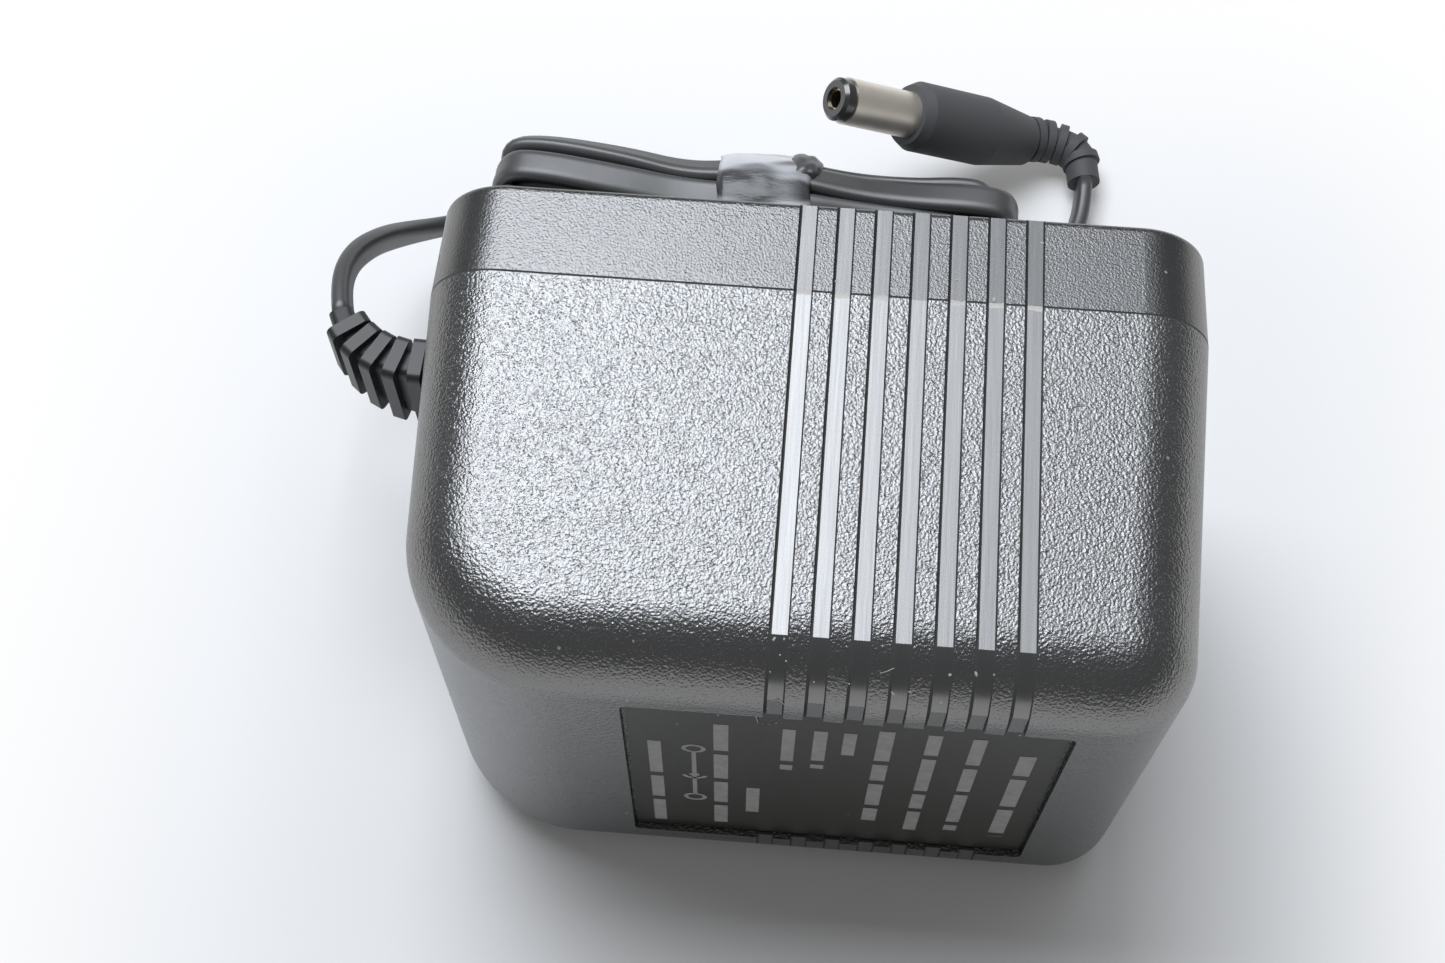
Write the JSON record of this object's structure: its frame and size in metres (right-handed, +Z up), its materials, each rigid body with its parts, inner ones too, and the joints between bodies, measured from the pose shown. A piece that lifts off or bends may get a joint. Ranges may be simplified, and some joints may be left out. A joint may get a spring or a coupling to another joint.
{
  "type": "plug-in power adapter",
  "caption": "Boxy plug-in power adapter on its side, with flat blades, ribbed side walls, a label recess, and a flat cord folded into a tied hank with a barrel plug.",
  "frame": {"origin": "under the middle of the case and blades, on the surface that the ribbed side wall lies on", "axes": "+X along the case from the cord end to the far end, +Y from the label face to the blade tips, +Z up from the surface"},
  "size_m": [0.089, 0.0958, 0.057],
  "materials": {
    "main_shell": "as made",
    "plug_cover": "as made",
    "rating_label": "as made",
    "left_blade": "as made",
    "right_blade": "as made",
    "blade_retainer": "as made",
    "core_e_stack": "as made",
    "core_i_stack": "as made",
    "bobbin": "as made",
    "primary_winding": "as made",
    "secondary_winding": "as made",
    "primary_tape": "as made",
    "secondary_tape": "as made",
    "primary_pin_1": "as made",
    "primary_pin_2": "as made",
    "secondary_pin_1": "as made",
    "secondary_pin_2": "as made",
    "thermal_fuse": "as made",
    "line_lead": "as made",
    "fuse_lead": "as made",
    "neutral_lead": "as made",
    "circuit_board": "as made",
    "rectifier_diode_1": "as made",
    "rectifier_diode_2": "as made",
    "rectifier_diode_3": "as made",
    "rectifier_diode_4": "as made",
    "smoothing_capacitor": "as made",
    "output_wire_positive": "as made",
    "output_wire_negative": "as made",
    "strain_relief": "as made",
    "output_cord": "as made",
    "cord_hank": "as made",
    "plug_lead": "as made",
    "cord_tie": "as made",
    "plug_grip": "as made",
    "plug_sleeve": "as made",
    "plug_insulator": "as made",
    "plug_contact": "as made"
  },
  "bodies": {
    "root": {"main_shell": "main_shell", "plug_cover": "plug_cover", "rating_label": "rating_label", "left_blade": "left_blade", "right_blade": "right_blade", "blade_retainer": "blade_retainer", "core_e_stack": "core_e_stack", "core_i_stack": "core_i_stack", "bobbin": "bobbin", "primary_winding": "primary_winding", "secondary_winding": "secondary_winding", "primary_tape": "primary_tape", "secondary_tape": "secondary_tape", "primary_pin_1": "primary_pin_1", "primary_pin_2": "primary_pin_2", "secondary_pin_1": "secondary_pin_1", "secondary_pin_2": "secondary_pin_2", "thermal_fuse": "thermal_fuse", "line_lead": "line_lead", "fuse_lead": "fuse_lead", "neutral_lead": "neutral_lead", "circuit_board": "circuit_board", "rectifier_diode_1": "rectifier_diode_1", "rectifier_diode_2": "rectifier_diode_2", "rectifier_diode_3": "rectifier_diode_3", "rectifier_diode_4": "rectifier_diode_4", "smoothing_capacitor": "smoothing_capacitor", "output_wire_positive": "output_wire_positive", "output_wire_negative": "output_wire_negative", "strain_relief": "strain_relief", "output_cord": "output_cord", "cord_hank": "cord_hank", "plug_lead": "plug_lead", "cord_tie": "cord_tie", "plug_grip": "plug_grip", "plug_sleeve": "plug_sleeve", "plug_insulator": "plug_insulator", "plug_contact": "plug_contact"}
  },
  "joints": []
}
